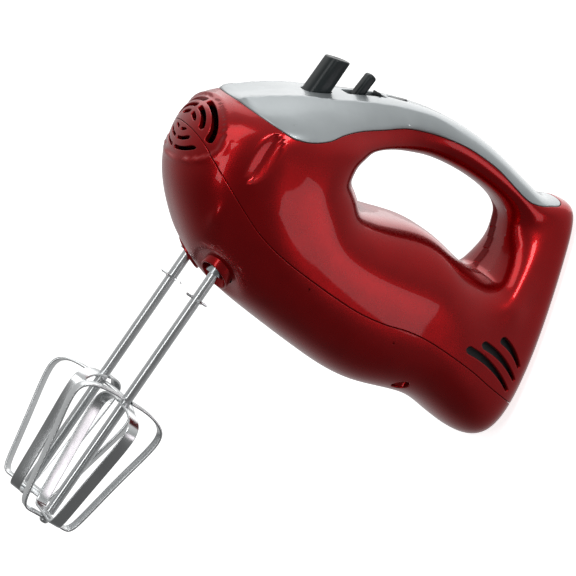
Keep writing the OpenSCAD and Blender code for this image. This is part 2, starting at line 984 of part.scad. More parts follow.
lower_housing();
upper_housing();
top_cover();
speed_slot_plate();
cord_gland();
housing_screws();
socket_collar_left();
socket_collar_right();
spindle_bushes();
field_stack();
field_coils();
gear_frame();
motor_bracket();
front_bearing();
middle_bearing();
rear_bearing();
brush_holders();
carbon_brushes();
speed_switch();
boost_switch();
eject_spring();
boost_spring();
motor_shaft();
worm();
armature_core();
armature_windings();
commutator();
cooling_fan();
spindle_left();
spindle_right();
worm_wheel_left();
worm_wheel_right();
ejector_pin_left();
ejector_pin_right();
beater_shaft_left();
beater_low_loop_left();
beater_high_loop_left();
beater_cap_left();
beater_shaft_right();
beater_low_loop_right();
beater_high_loop_right();
beater_cap_right();
eject_button();
ejector_yoke();
speed_slider();
slider_carriage();
boost_button();
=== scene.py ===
import math

import bpy
import numpy as np
from mathutils import Matrix


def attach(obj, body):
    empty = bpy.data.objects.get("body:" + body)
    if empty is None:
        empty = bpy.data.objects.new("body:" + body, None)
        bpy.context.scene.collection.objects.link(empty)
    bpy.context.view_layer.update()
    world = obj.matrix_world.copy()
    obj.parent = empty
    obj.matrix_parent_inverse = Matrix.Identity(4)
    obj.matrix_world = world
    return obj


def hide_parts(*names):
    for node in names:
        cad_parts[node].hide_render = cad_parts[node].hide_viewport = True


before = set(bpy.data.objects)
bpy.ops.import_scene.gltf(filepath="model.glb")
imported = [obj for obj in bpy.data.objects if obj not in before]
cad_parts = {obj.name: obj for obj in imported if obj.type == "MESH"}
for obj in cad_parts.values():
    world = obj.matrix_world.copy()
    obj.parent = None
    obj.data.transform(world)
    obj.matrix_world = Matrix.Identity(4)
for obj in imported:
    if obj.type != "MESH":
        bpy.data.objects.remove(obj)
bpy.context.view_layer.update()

# ---- Camera ----
# A hand mixer is drawn as it is held: x to the rear, -y to its left, z up, in millimetres, with
# the origin on the ground line between its two spindles. It is shown standing on its flat heel.
HEEL_TILT = math.radians(13.0)
HEEL_REACH = 173.0
HEEL_MID = 36.0


def stood(points):
    """Millimetres as held to metres on the heel: turned by a right angle and the heel's tilt about
    the y axis, so that the heel face lies on the floor."""
    x, y, z = np.moveaxis(np.asarray(points, float), -1, 0)
    s, c = math.sin(HEEL_TILT), math.cos(HEEL_TILT)
    held = [z * c - x * s - HEEL_MID, y, HEEL_REACH - x * c - z * s]
    return np.stack(held, -1) / 1000


def stood_direction(direction):
    """A direction as held, turned to the heel and made one long."""
    turned = stood(direction) - stood((0, 0, 0))
    return turned / np.linalg.norm(turned)


def place(holder, position, right, up):
    """Gives a camera or a light its place and the directions of its right and top edges."""
    axes = np.stack([right, up, np.cross(right, up)], 1)
    matrix = np.eye(4)
    matrix[:3, :3] = axes
    matrix[:3, 3] = position
    holder.matrix_world = Matrix(matrix.tolist())
    bpy.context.collection.objects.link(holder)


SIDE_ANGLE = math.radians(26.5)
DOWN_ANGLE = math.radians(2.5)
VIEW_DISTANCE = 1200.0
CAMERA_AIM = (44.82, 0.0, 20.70)
ROLL = (0.821, 0.571)
look = np.array([math.sin(SIDE_ANGLE) * math.cos(DOWN_ANGLE),
                 math.cos(SIDE_ANGLE) * math.cos(DOWN_ANGLE), -math.sin(DOWN_ANGLE)])
level = np.array([math.cos(SIDE_ANGLE), -math.sin(SIDE_ANGLE), 0.0])
rise = np.cross(level, look)
frame_right = stood_direction(ROLL[0] * level + ROLL[1] * rise)
frame_up = stood_direction(ROLL[0] * rise - ROLL[1] * level)
camera = bpy.data.objects.new("camera", bpy.data.cameras.new("camera"))
camera.data.lens = 157.5
camera.data.sensor_width = 36.0
camera.data.clip_end = 50.0
place(camera, stood(np.array(CAMERA_AIM) - VIEW_DISTANCE * look), frame_right, frame_up)
bpy.context.scene.camera = camera

# ---- Red shells and silver cover ----
# Three injection-moulded ABS shells, 2.4 mm thick, make the body: a lower and an upper half in
# candy-red lacquer and a silver cover over nose and handle, parted by rolled seams.
SECTIONS = np.array([
    # outer x, outer z, opening x, opening z, half width, widest place, roundness outside, inside
    (-51, 60, 27, 88, 41, 0.50, 2.2, 4.0), (-45, 75, 29, 93, 39, 0.50, 2.2, 4.0),
    (-30, 86.3, 31, 97, 35, 0.50, 2.2, 3.8), (-16, 97.5, 38, 101, 30, 0.50, 2.2, 3.4),
    (4.5, 108.5, 45, 104, 25, 0.50, 2.2, 3.0), (23, 119.5, 54, 107, 20, 0.50, 2.3, 2.6),
    (43, 127, 62, 110, 17.5, 0.50, 2.4, 2.4), (64, 132, 71, 112, 16.5, 0.50, 2.4, 2.4),
    (85, 132.5, 82, 113.5, 16.5, 0.50, 2.4, 2.4), (105, 130, 95, 114, 17, 0.50, 2.4, 2.4),
    (122, 127, 107, 113, 17.5, 0.50, 2.4, 2.4), (131, 127, 118, 109, 18, 0.50, 2.4, 2.4),
    (145, 137, 121, 102, 18.5, 0.50, 2.6, 2.6), (153, 108, 126, 94, 24, 0.50, 3.2, 3.0),
    (162, 75, 127, 85, 30, 0.50, 3.4, 3.2), (170, 39, 126, 77, 34.5, 0.50, 3.4, 3.4),
    (173, 8, 110, 78, 37.5, 0.45, 2.8, 3.4), (146, 7, 99, 79, 40, 0.45, 2.6, 3.2),
    (122, 12, 86, 81.5, 41, 0.45, 2.6, 3.2), (92, -2, 73, 80, 42, 0.45, 2.6, 3.2),
    (62, -1, 55, 73, 42.5, 0.45, 2.6, 3.4), (30, 1, 40, 71, 43, 0.45, 2.6, 3.6),
    (-2, 4, 35, 77, 43, 0.48, 2.5, 3.8), (-24, 18, 27, 80, 43, 0.50, 2.4, 4.0),
    (-44, 36, 27, 84, 42.5, 0.50, 2.2, 4.0)])
CHART = np.array([len(SECTIONS), 2 * math.pi])
WALL = 2.4
SEAM_GAP = 0.2


def section(t):
    """Sections on a closed uniform cubic B-spline through the list, at the places t."""
    i = np.floor(t).astype(int)
    u = (t - i)[:, None]
    weights = ((1 - u) ** 3, 3 * u ** 3 - 6 * u * u + 4, 3 * u + 3 * u * u + 1 - 3 * u ** 3, u ** 3)
    return sum(w / 6 * SECTIONS[(i + k - 1) % len(SECTIONS)] for k, w in enumerate(weights))


def skin(chart):
    """Round each section, at angle a: a rounded oval |c|^n + |s|^n = 1 between the outside and the
    hand opening. What would pass the heel plane is pressed softly onto it."""
    t, a = chart.T
    xo, zo, xh, zh, half, peak, n_out, n_in = section(t).T
    c, s = np.cos(a), np.sin(a)
    n = np.where(c > 0, n_out, n_in)
    r = (np.abs(c) ** n + np.abs(s) ** n) ** (-1 / n)
    along = np.where(c > 0, peak * (1 - np.abs(c) * r), peak + (1 - peak) * np.abs(c) * r)
    p = np.stack([xo + (xh - xo) * along, -half * s * r, zo + (zh - zo) * along], -1)
    heel = np.array([math.cos(HEEL_TILT), 0, math.sin(HEEL_TILT)])
    past = p @ heel - HEEL_REACH
    soft = 0.9
    pressed = -soft * np.logaddexp(0, -past / soft)
    return p + (pressed - past)[:, None] * heel


def chart_normal(surface, chart, step=(2e-3, 1e-3)):
    """Unit normal of a surface over the chart, from central differences, pointing outwards."""
    dt, da = np.array([step[0], 0]), np.array([0, step[1]])
    along_t = surface(chart + dt) - surface(chart - dt)
    along_a = surface(chart + da) - surface(chart - da)
    n = np.cross(along_a, along_t)
    return n / np.maximum(np.linalg.norm(n, axis=1, keepdims=True), 1e-12)


def ramp(value, start, end):
    """Smooth step from 0 at start to 1 at end."""
    s = np.clip((value - start) / (end - start), 0, 1)
    return s * s * (3 - 2 * s)


def smooth_line(points):
    """Height over x of a Catmull-Rom curve through the points."""
    p = np.array(points, float)
    q = np.vstack([2 * p[0] - p[1], p, 2 * p[-1] - p[-2]])
    u = np.linspace(0, 1, 12, endpoint=False)[:, None]
    runs = [0.5 * (2 * q[i + 1] + (q[i + 2] - q[i]) * u
                   + (2 * q[i] - 5 * q[i + 1] + 4 * q[i + 2] - q[i + 3]) * u ** 2
                   + (3 * q[i + 1] - 3 * q[i + 2] + q[i + 3] - q[i]) * u ** 3)
            for i in range(len(p) - 1)]
    curve = np.vstack(runs + [p[-1:]])
    return lambda x: np.interp(x, curve[:, 0], curve[:, 1])


cover_seam = smooth_line([
    (-60, 80), (-20, 80), (-12, 81), (-5, 84), (2, 89), (8, 95), (16, 101), (28, 108),
    (39, 114.5), (51, 119), (62, 122), (73, 124), (84, 124.5), (94, 124), (105, 122),
    (114, 120.5), (120, 121), (128, 124.5), (136, 131), (140, 150)])
housing_seam = smooth_line([
    (-60, 60), (-49, 58), (-33, 49), (-14, 40), (0, 35), (20, 32), (55, 31), (74, 33),
    (90, 37), (105, 38.5), (130, 38), (150, 36), (185, 34)])
crease_line = smooth_line([(-60, 14), (-34, 14), (-17, 15.5), (0, 17), (10, 16), (26, 15),
                           (42, 14), (62, 13.5), (200, 13)])
SPINDLE_Y = 19.0
GRILLE_Z = 59.0
GRILLE_FLAT = 1.75
GRILLE_PANEL, GRILLE_RIM = 17.2, 17.6
SCOOP_X, SCOOP_Z, SCOOP_WIDE, SCOOP_TALL = -21.5, 65.5, 6.2, 12.5
RIB_X, RIB_Z = -21.5, 31
SWELL_X, SWELL_Z, SWELL_RUN = 120, 104, (12.0, -30.0)


def grille_radius(p):
    """Distance from the grille's middle in front view, with the width pressed to the height."""
    return np.hypot(p[:, 1] / GRILLE_FLAT, p[:, 2] - GRILLE_Z)


def relief(p):
    """Height above the plain skin: the sunk grille panel and its rim, the almond scoop and small
    rib on each side of the nose, the dimple round each socket, the soft edge along the cover and
    the swelling of the rear column. Each is a smooth step or a bell curve of a distance."""
    x, y, z = p[:, 0], np.abs(p[:, 1]), p[:, 2]
    nose = x < -12
    h = np.where(nose, -0.8 * ramp(GRILLE_PANEL - grille_radius(p), 0, 1.0), 0)
    h += np.where(nose, 0.35 * np.exp(-((grille_radius(p) - GRILLE_RIM) / 0.9) ** 2), 0)
    tall = np.clip(1 - ((z - SCOOP_Z) / SCOOP_TALL) ** 2, 0, 1)
    across = np.clip(1 - np.abs(x - SCOOP_X) / (SCOOP_WIDE * np.sqrt(tall) + 1e-6), 0, 1)
    scoop = -(1.7 * across ** 2 * (3 - 2 * across) + 0.5 * across) * np.sqrt(tall)
    h += np.where((y > 25) & (x < -8), scoop, 0)
    rib = np.hypot((x - RIB_X + 0.35 * (z - RIB_Z)) / 2.6, (z - RIB_Z) / 5.2)
    h += np.where(nose & (y > 20) & (z < 45), 1.3 * np.exp(-(rib ** 2) * 1.1), 0)
    socket = np.hypot(x, y - SPINDLE_Y)
    h -= np.where(z < 32, 3.0 * np.exp(-(socket / 13) ** 4), 0)
    edge = np.sqrt((y - crease_line(x)) ** 2 + 0.1)
    top = ramp(z - cover_seam(x), -1, 2) * ramp(72 - x, 0, 25)
    h += 2.0 * np.exp(-edge / 6.5) * top
    run = np.array(SWELL_RUN)
    s = np.clip(((x - SWELL_X) * run[0] + (z - SWELL_Z) * run[1]) / (run @ run), 0, 1)
    bulge = np.hypot(x - SWELL_X - s * run[0], z - SWELL_Z - s * run[1])
    return h + np.where(y > 8, 1.9 * np.exp(-(bulge / 7.5) ** 2), 0)


def slice_mesh(chart, faces, value):
    """Splits triangles where value changes sign, with the new points found along the edges by
    false position. Returns the new chart, triangles and a mask of those with value above 0."""
    g = value(chart)
    side = (g > 0)[faces]
    count = side.sum(1)
    mixed = (count > 0) & (count < 3)
    cut, cut_side = faces[mixed], side[mixed]
    lone = np.where(cut_side.sum(1) == 1, cut_side.argmax(1), (~cut_side).argmax(1))
    turned = np.take_along_axis(cut, (lone[:, None] + np.arange(3)) % 3, 1)
    edges = np.sort(np.vstack([turned[:, [0, 1]], turned[:, [0, 2]]]), 1)
    key, back = np.unique(edges[:, 0] * len(chart) + edges[:, 1], return_inverse=True)
    lo, hi = key // len(chart), key % len(chart)
    step = chart[hi] - chart[lo]
    step -= CHART * np.round(step / CHART)
    near, far, at_near, at_far = np.zeros(len(lo)), np.ones(len(lo)), g[lo], g[hi]
    for _ in range(4):
        s = near + (far - near) * at_near / (at_near - at_far)
        found = value(chart[lo] + step * s[:, None])
        same = (found > 0) == (at_near > 0)
        near, at_near = np.where(same, s, near), np.where(same, found, at_near)
        far, at_far = np.where(same, far, s), np.where(same, at_far, found)
    s = np.clip(near + (far - near) * at_near / (at_near - at_far), 0.01, 0.99)
    back = back.reshape(2, -1) + len(chart)
    a, b, c, p, q = turned[:, 0], turned[:, 1], turned[:, 2], back[0], back[1]
    lone_above = cut_side.sum(1) == 1
    pieces = [np.stack(t, 1) for t in ((a, p, q), (p, b, c), (p, c, q))]
    above = np.concatenate([count[~mixed] == 3, lone_above, ~lone_above, ~lone_above])
    return (np.vstack([chart, chart[lo] + step * s[:, None]]),
            np.vstack([faces[~mixed]] + pieces), above)


def slope_on_skin(field, p, n):
    """Value of a field and its slope along the skin, from forward differences."""
    g, h = field(p), 0.02
    grad = np.stack([(field(p + h * axis) - g) / h for axis in np.eye(3)], 1)
    grad -= (grad * n).sum(1)[:, None] * n
    return g, grad


def moulded_shell(cuts):
    """A shell of the body: the skin where every cut's field is above 0, each cut edge rolled in by
    a quarter circle, closed by an inner wall and rims. Returns points, faces and normals."""
    rows, cols = 328, 126
    t, a = np.meshgrid(np.arange(rows) * CHART[0] / rows, np.arange(cols) * CHART[1] / cols,
                       indexing="ij")
    chart = np.stack([t.ravel(), a.ravel()], 1)
    i, j = np.meshgrid(np.arange(rows), np.arange(cols), indexing="ij")
    corner = [((i + di) % rows) * cols + (j + dj) % cols
              for di, dj in ((0, 0), (0, 1), (1, 1), (1, 0))]
    corner = [k.ravel() for k in corner]
    faces = np.vstack([np.stack([corner[k] for k in order], 1)
                       for order in ((0, 1, 2), (0, 2, 3))])

    def distance(field, chart):
        """A field's value over its slope along the skin, which is the distance to its cut."""
        p = skin(chart)
        g, grad = slope_on_skin(field, p, chart_normal(skin, chart))
        return g / np.maximum(np.linalg.norm(grad, axis=1), 0.25)

    for field, _ in cuts:
        chart, faces, above = slice_mesh(chart, faces, lambda c: distance(field, c))
        faces = faces[above]
        used, faces = np.unique(faces, return_inverse=True)
        chart, faces = chart[used], faces.reshape(-1, 3)
    for field, roll in cuts:
        for part in (0.08, 0.3, 0.6, 1.0):
            chart, faces, _ = slice_mesh(chart, faces,
                                         lambda c: distance(field, c) - roll * part)
    raised = lambda c: skin(c) + chart_normal(skin, c) * relief(skin(c))[:, None]
    base, base_normal = skin(chart), chart_normal(skin, chart)
    p, n = raised(chart), chart_normal(raised, chart, (4e-3, 2e-3))
    behind = p - base_normal * WALL
    for field, roll in cuts:
        g, grad = slope_on_skin(field, base, base_normal)
        size = np.maximum(np.linalg.norm(grad, axis=1), 0.25)
        lean = np.clip(1 - g / size / roll, 0, 1)
        p -= base_normal * (roll * (1 - np.sqrt(1 - lean ** 2)))[:, None]
        out = -grad / size[:, None]
        n = n * np.sqrt(1 - lean ** 2)[:, None] + out * lean[:, None]
    n /= np.linalg.norm(n, axis=1, keepdims=True)
    count = len(p)
    edges = np.vstack([faces[:, [0, 1]], faces[:, [1, 2]], faces[:, [2, 0]]])
    key = np.sort(edges, 1) @ np.array([count, 1])
    _, first, times = np.unique(key, return_index=True, return_counts=True)
    rim = edges[first[times == 1]]
    points = np.vstack([p, behind])
    inner = faces[:, ::-1] + count
    quads = np.stack([rim[:, 1], rim[:, 0], rim[:, 0] + count, rim[:, 1] + count], 1)
    across = np.cross(points[quads[:, 1]] - points[quads[:, 0]],
                      points[quads[:, 3]] - points[quads[:, 0]])
    across /= np.maximum(np.linalg.norm(across, axis=1, keepdims=True), 1e-9)
    normals = np.vstack([n[faces.ravel()], -base_normal[faces[:, ::-1].ravel()],
                         np.repeat(across, 4, 0)])
    return points, [faces, inner, quads], normals


def lay_mesh(name, points, face_sets, normals=None, sharp=None):
    """A mesh object from points in millimetres as held and arrays of faces with one length each.
    Normals are one per face corner, or edges sharper than the angle stay sharp."""
    mesh = bpy.data.meshes.new(name)
    corners = np.concatenate([f.ravel() for f in face_sets])
    sizes = np.concatenate([np.full(len(f), f.shape[1]) for f in face_sets])
    mesh.vertices.add(len(points))
    mesh.vertices.foreach_set("co", stood(points).ravel())
    mesh.loops.add(len(corners))
    mesh.loops.foreach_set("vertex_index", corners.astype(np.int32))
    mesh.polygons.add(len(sizes))
    mesh.polygons.foreach_set("loop_start", np.concatenate([[0], np.cumsum(sizes)[:-1]]))
    mesh.update(calc_edges=True)
    mesh.validate()
    mesh.shade_smooth()
    if normals is not None:
        turned = (stood(normals) - stood((0, 0, 0))) * 1000
        mesh.normals_split_custom_set(turned.tolist())
    elif sharp:
        mesh.set_sharp_from_angle(angle=math.radians(sharp))
    piece = bpy.data.objects.new(name, mesh)
    bpy.context.collection.objects.link(piece)
    return piece


def linear(colour):
    """sRGB hex to linear colour with alpha."""
    parts = [int(colour[k:k + 2], 16) / 255 for k in (1, 3, 5)]
    return tuple(((v + 0.055) / 1.055) ** 2.4 if v > 0.04045 else v / 12.92 for v in parts) + (1.0,)


def add(tree, kind, inputs=None, **settings):
    """Adds a node with its settings. An input is a value, or a node and its output's name."""
    made = tree.nodes.new(kind)
    for key, value in settings.items():
        setattr(made, key, value)
    for key, value in (inputs or {}).items():
        if isinstance(value, tuple) and isinstance(value[0], bpy.types.Node):
            tree.links.new(value[0].outputs[value[1]], made.inputs[key])
        else:
            made.inputs[key].default_value = value
    return made


def finish_of(name, dark, light, rough, grain, stretch=(1, 1, 1), bump=0.02, wear=0.05, **shader):
    """A material whose colour drifts between two tones over patches of some 12 mm, with a fine
    grain, in millimetres, that moves its roughness and bump. The rest is set on the shader."""
    material = bpy.data.materials.new(name)
    material.use_nodes = True
    tree = material.node_tree
    tree.nodes.clear()
    place_of = add(tree, "ShaderNodeTexCoord")
    turned = add(tree, "ShaderNodeMapping",
                 {"Vector": (place_of, "Object"), "Scale": stretch,
                  "Rotation": (0, math.pi / 2 + HEEL_TILT, 0)})
    patches = add(tree, "ShaderNodeTexNoise",
                  {"Vector": (place_of, "Object"), "Scale": 80.0, "Detail": 2.0})
    fine = add(tree, "ShaderNodeTexNoise",
               {"Vector": (turned, "Vector"), "Scale": 1000.0 / grain, "Detail": 3.0})
    tone = add(tree, "ShaderNodeValToRGB", {"Fac": (patches, "Fac")})
    for stop, position, colour in zip(tone.color_ramp.elements, (0.3, 0.7), (dark, light)):
        stop.position, stop.color = position, linear(colour)
    gloss = add(tree, "ShaderNodeMapRange", {"Value": (fine, "Fac"), "From Min": 0.3,
                                             "From Max": 0.7, "To Min": rough,
                                             "To Max": rough + wear})
    peel = add(tree, "ShaderNodeBump", {"Height": (fine, "Fac"), "Strength": bump,
                                        "Distance": grain / 1000})
    surface = add(tree, "ShaderNodeBsdfPrincipled",
                  {"Base Color": (tone, "Color"), "Roughness": (gloss, "Result"),
                   "Normal": (peel, "Normal"), **shader})
    add(tree, "ShaderNodeOutputMaterial", {"Surface": (surface, "BSDF")})
    return material


# Candy-red lacquer over ABS: metallic red under a clear coat, deep where it turns away. The faint
# orange peel of some 1.5 mm is drawn at 5 mm, because finer it turns to noise.
candy_red = finish_of("candy_red_lacquer_abs", "#980309", "#a2050b", 0.26, 5.0, bump=0.008,
                      wear=0.02, **{"Metallic": 0.75, "Coat Weight": 0.4,
                                    "Coat Roughness": 0.03, "Specular IOR Level": 0.15})
# Silver-painted ABS: fine aluminium flake in lacquer, a soft satin with weak reflections.
silver_paint = finish_of("silver_painted_abs", "#9da3a5", "#a5abad", 0.32, 3.0, bump=0.01,
                         wear=0.03, **{"Metallic": 0.5, "Coat Weight": 0.6,
                                       "Coat Roughness": 0.1})


def finished(piece, body, slot, material, *nodes):
    """Gives a piece its material, body and the nodes that it stands for; the slot is not used."""
    piece.data.materials.append(material)
    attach(piece, body)
    if nodes:
        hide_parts(*nodes)


def on_slope(p, spot):
    """Coordinates of points along, across and square to the cover at a spot (x, z, slope)."""
    lean = math.radians(spot[2])
    x, z = p[:, 0] - spot[0], p[:, 2] - spot[1]
    return (x * math.cos(lean) + z * math.sin(lean), p[:, 1],
            z * math.cos(lean) - x * math.sin(lean))


VENTS = ((138.5, 58.5, 154.5, 52.2), (130, 51.7, 156, 45.7), (123.5, 45.7, 155.6, 39.7))


def outside_vents(p):
    """Distance in side view from the three tapering vents, 1.9 mm round in front, 0.8 behind, and
    bowed upwards by 7 percent of their length."""
    d = np.full(len(p), 1e3)
    for x0, z0, x1, z1 in VENTS:
        long = math.hypot(x1 - x0, z1 - z0)
        ux, uz = (x1 - x0) / long, (z1 - z0) / long
        along = (p[:, 0] - x0) * ux + (p[:, 2] - z0) * uz
        above = (p[:, 2] - z0) * ux - (p[:, 0] - x0) * uz
        s = np.clip(along / long, 0, 1)
        gap = np.hypot(along - s * long, above - 0.28 * long * s * (1 - s))
        d = np.minimum(d, gap - (1.9 - 1.1 * s))
    return d


SLOTS_ABOVE = ((13.6, 1.15, 56.5), (9.2, 1.1, 59.5), (5.0, 1.0, 61.2))
SLOTS_BELOW = ((12.9, 0.8, 51.6), (8.6, 0.75, 54.2), (4.4, 0.7, 56.2))


def outside_slots(p, rows, sign):
    """Distance from the grille's arcs: rings about the nose, cut off at a height and at the
    middle rib."""
    r = grille_radius(p)
    d = np.full(len(p), 1e3)
    for radius, half, level_z in rows:
        ends = np.maximum(sign * (level_z - p[:, 2]) + half, 1.5 + half - np.abs(p[:, 1]))
        arc = np.hypot(np.maximum(ends, 0), r - radius) - half
        d = np.minimum(d, arc)
    return np.where(p[:, 0] < -20, d, 1e3)


EJECT_X, EJECT_HALF = -2.0, (5.5, 6.6)
SPEED_SPOT = (20.2, 115.2, 31)
BOOST_SPOT = (35.5, 123.5, 27)
SLOT_HALF = (10.0, 5.5)


def outside_controls(p):
    """Distance in plan from the holes for the eject button, the slider's trough and the boost
    button."""
    x, y = (p[:, 0] - EJECT_X) / (EJECT_HALF[0] + 0.4), p[:, 1] / (EJECT_HALF[1] + 0.4)
    eject = ((np.abs(x) ** 3 + np.abs(y) ** 3 + 1e-9) ** (1 / 3) - 1) * EJECT_HALF[0]
    eject = np.where(p[:, 2] > 85, eject, 1e3)
    along, across, depth = on_slope(p, SPEED_SPOT)
    round_off = 1.2
    dx = np.abs(along) - SLOT_HALF[0] + round_off
    dy = np.abs(across) - SLOT_HALF[1] + round_off
    trough = np.hypot(np.maximum(dx, 0), np.maximum(dy, 0)) - round_off
    trough += np.minimum(np.maximum(dx, dy), 0)
    trough = np.where(np.abs(depth) < 9, trough, 1e3)
    along, across, depth = on_slope(p, BOOST_SPOT)
    boost = (np.hypot(along / 5.76, across / 3.6) - 1) * 4.0
    boost = np.where(np.abs(depth) < 9, boost, 1e3)
    return np.minimum(np.minimum(eject, trough), boost)


GLAND_SPOT = (150.0, 10.0)
SCREW_SPOTS = ((108.5, 30),)


def outside_sockets(p):
    """Distance in plan from the holes for the two collars, the cord gland and the two screws."""
    y = np.abs(p[:, 1])
    d = np.hypot(p[:, 0], y - SPINDLE_Y) - 8.4
    d = np.minimum(d, np.hypot(p[:, 0] - GLAND_SPOT[0], y) - 7.3)
    for x, side in SCREW_SPOTS:
        d = np.minimum(d, np.hypot(p[:, 0] - x, y - side) - 3.6)
    return np.where(p[:, 2] < 28, d, 1e3)


half_gap = SEAM_GAP / 2
above_housing = lambda p: p[:, 2] - housing_seam(p[:, 0]) - half_gap
below_housing = lambda p: housing_seam(p[:, 0]) - p[:, 2] - half_gap
above_cover = lambda p: p[:, 2] - cover_seam(p[:, 0]) - half_gap
below_cover = lambda p: cover_seam(p[:, 0]) - p[:, 2] - half_gap
upper = lay_mesh("upper_shell", *moulded_shell([
    (above_housing, 0.4), (below_cover, 0.5), (outside_vents, 0.6),
    (lambda p: outside_slots(p, SLOTS_ABOVE, 1), 0.5)]))
finished(upper, "housing", "red_gloss", candy_red, "upper_housing")
lower = lay_mesh("lower_shell", *moulded_shell([
    (below_housing, 0.4), (outside_sockets, 0.5),
    (lambda p: outside_slots(p, SLOTS_BELOW, -1), 0.4)]))
finished(lower, "housing", "red_gloss", candy_red, "lower_housing")
cover = lay_mesh("cover_shell", *moulded_shell([(above_cover, 0.6), (outside_controls, 0.45)]))
finished(cover, "housing", "silver_plastic", silver_paint, "top_cover")

# ---- Eject button ----
# An oval, gloss-black ABS key that stands up through the cover with a sloping, slightly dished
# top. Pressed 8 mm down, its yoke pushes both beaters out of their spindles.
def join_rings(rings, loop=False):
    """Points and faces of rings of points, each joined to the next. A loop joins the last to the
    first, otherwise a middle point closes each end. Faces are turned to point outwards."""
    count, sides = rings.shape[:2]
    points = rings.reshape(-1, 3)
    i, j = np.meshgrid(np.arange(count if loop else count - 1), np.arange(sides), indexing="ij")
    i2, j2 = (i + 1) % count, (j + 1) % sides
    sets = [np.stack([i * sides + j, i * sides + j2, i2 * sides + j2, i2 * sides + j],
                     -1).reshape(-1, 4)]
    if not loop:
        points = np.vstack([points, rings[0].mean(0), rings[-1].mean(0)])
        k = np.arange(sides)
        k2, last = (k + 1) % sides, (count - 1) * sides
        sets.append(np.vstack([np.stack([np.full(sides, count * sides), k2, k], 1),
                               np.stack([np.full(sides, count * sides + 1), last + k, last + k2],
                                        1)]))
    corners = points[sets[0]]
    volume = (np.cross(corners[:, 0], corners[:, 1]) * corners[:, 2]).sum()
    volume += (np.cross(corners[:, 0], corners[:, 2]) * corners[:, 3]).sum()
    if not loop:
        corners = points[sets[1]]
        volume += (np.cross(corners[:, 0], corners[:, 1]) * corners[:, 2]).sum()
    return points, [f[:, ::-1] for f in sets] if volume < 0 else sets


def eased(points, ease, closed=False, steps=5):
    """A polyline whose corners are replaced by quadratic curves, that leave the line at the ease
    distance, or half way, before each corner and join it as far after."""
    p = np.array(points, float)
    before, after = np.roll(p, 1, 0), np.roll(p, -1, 0)
    u = np.linspace(0, 1, steps)[:, None]
    out = []
    for k in range(len(p)):
        if not closed and k in (0, len(p) - 1):
            out.append(p[k:k + 1])
            continue
        reach = [min(ease, 0.5 * np.linalg.norm(q[k] - p[k])) for q in (before, after)]
        a, b = (p[k] + (q[k] - p[k]) * r / max(np.linalg.norm(q[k] - p[k]), 1e-9)
                for q, r in zip((before, after), reach))
        out.append((1 - u) ** 2 * a + 2 * u * (1 - u) * p[k] + u * u * b)
    return np.vstack(out)


def oval_rings(rows, power, sides):
    """Ring k is a rounded oval |x/a|^p + |y/b|^p = 1, moved by (shift, height) and sheared up
    along x, for each row (a, b, height, shift, shear)."""
    t = np.arange(sides) * 2 * math.pi / sides
    c, s = np.cos(t), np.sin(t)
    r = (np.abs(c) ** power + np.abs(s) ** power) ** (-1 / power)
    a, b, height, shift, shear = np.array(rows, float).T[:, :, None]
    x = a * c * r
    return np.stack([x + shift, b * s * r + 0 * a, height + x * shear], -1)


gloss_black = finish_of("gloss_black_abs", "#0d1617", "#121c1e", 0.34, 2.0, bump=0.01, wear=0.05,
                        **{"Specular IOR Level": 0.35, "Coat Weight": 0.1, "Coat Roughness": 0.15})
EJECT_FOOT, EJECT_TOP, EJECT_SLOPE = 92.05, 123.0, math.tan(math.radians(17))
side_line = eased([(4.0, EJECT_FOOT), (-1.4, EJECT_FOOT), (-1.4, 93.9), (0.1, 93.9), (0.1, 104.0),
                   (0.3, EJECT_TOP - 0.1), (2.2, EJECT_TOP), (4.2, EJECT_TOP - 0.6)], 0.9)
side_line = side_line[side_line[:, 0] < 4.25]
lean = ramp(side_line[:, 1], 104, EJECT_TOP - 1.5) * EJECT_SLOPE
half_x, half_y = EJECT_HALF
rows = [(max(half_x - inset, 0.2), max(half_y - inset, 2.2), z, EJECT_X, w)
        for (inset, z), w in zip(side_line, lean)]
eject = lay_mesh("eject_key", *join_rings(oval_rings(rows, 3.2, 72)), sharp=40)
finished(eject, "eject_button", "black_gloss", gloss_black, "eject_button")

# ---- Speed slider, its trough and the boost button ----
# A black ABS trough clipped into the sloping cover, with a fin at its rear end, a tab that slides
# 5 mm along it, and a flat oval button behind. All are moulded with small radii.
def off_slope(p, spot):
    """Points given along, across and square to the cover at a spot (x, z, slope), as held."""
    lean = math.radians(spot[2])
    a, y, d = np.moveaxis(np.asarray(p, float), -1, 0)
    return np.stack([spot[0] + a * math.cos(lean) - d * math.sin(lean), y,
                     spot[1] + a * math.sin(lean) + d * math.cos(lean)], -1)


trough_line = eased([(9.7, 5.2, -4.6, 0, 0), (9.7, 5.2, 0.4, 0, 0), (8.9, 4.4, 0.4, 0, 0),
                     (8.9, 4.4, -3.2, 0, 0), (6.4, 1.6, -3.2, -1.3, 0),
                     (6.4, 1.6, -4.6, -1.3, 0)], 0.35, closed=True, steps=4)
trough = lay_mesh("slider_trough", *join_rings(
    off_slope(oval_rings(trough_line, 9, 96), SPEED_SPOT), loop=True), sharp=40)


def pillow(outline, half, edge):
    """A flat solid: an outline in the x-z plane carried from -half to half along y, drawn in
    towards its middle by the edge size at both ends to round them."""
    outline = np.asarray(outline, float)
    middle = outline.mean(0)
    turn = np.linspace(0, math.pi / 2, 5)
    at = np.concatenate([-half + edge * (1 - np.cos(turn)), half - edge * (1 - np.cos(turn))[::-1]])
    size = np.abs(outline - middle).max()
    drawn = edge * (1 - np.sin(turn))
    keep = 1 - np.concatenate([drawn, drawn[::-1]]) / size
    flat = middle + (outline - middle) * keep[:, None, None]
    return np.stack([flat[..., 0], np.broadcast_to(at[:, None], flat.shape[:2]), flat[..., 1]], -1)


